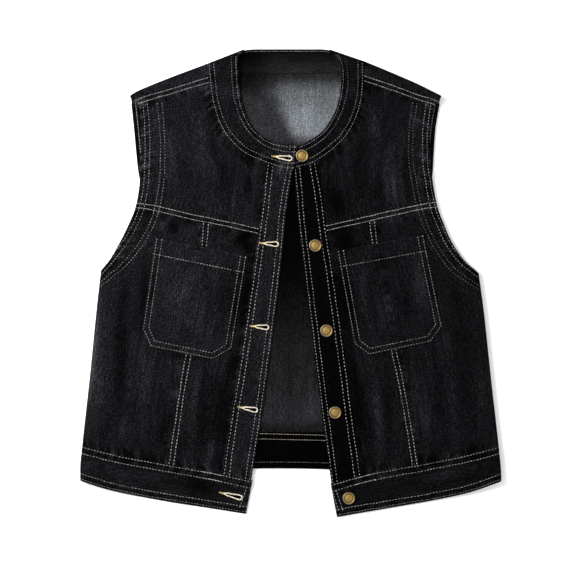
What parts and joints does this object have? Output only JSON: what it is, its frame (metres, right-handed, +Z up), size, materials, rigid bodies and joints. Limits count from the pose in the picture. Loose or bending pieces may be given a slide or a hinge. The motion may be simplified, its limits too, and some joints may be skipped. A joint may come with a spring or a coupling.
{
  "type": "collarless black denim vest, laid flat with its front open",
  "caption": "Round-necked black washed denim vest laid flat, with patch chest pockets, off-white twin topstitching, brass tack buttons and an open front.",
  "frame": {"origin": "middle of the box round the vest, on the surface that it lies on", "axes": "+X towards the wearer's left side, +Y up the body to the neck, +Z up off the surface"},
  "size_m": [0.5462, 0.608, 0.0092],
  "materials": {
    "body_denim": "black washed denim, matt twill with light slub",
    "band_denim": "black washed denim, doubled, worn paler at its edges",
    "brass": "antique brass, satin"
  },
  "bodies": {
    "root": {"back_panel": "body_denim", "front_side_right": "body_denim", "front_side_left": "body_denim", "front_centre_right": "body_denim", "front_centre_left": "body_denim", "front_yoke_right": "body_denim", "front_yoke_left": "body_denim", "pocket_right": "body_denim", "pocket_left": "body_denim", "back_waistband": "band_denim", "front_waistband_right": "band_denim", "front_waistband_left": "band_denim", "placket_right": "band_denim", "placket_left": "band_denim", "neckband": "band_denim", "armhole_facing_right": "band_denim", "armhole_facing_left": "band_denim", "button_1": "brass", "button_2": "brass", "button_3": "brass", "button_4": "brass", "button_5": "brass"}
  },
  "joints": []
}
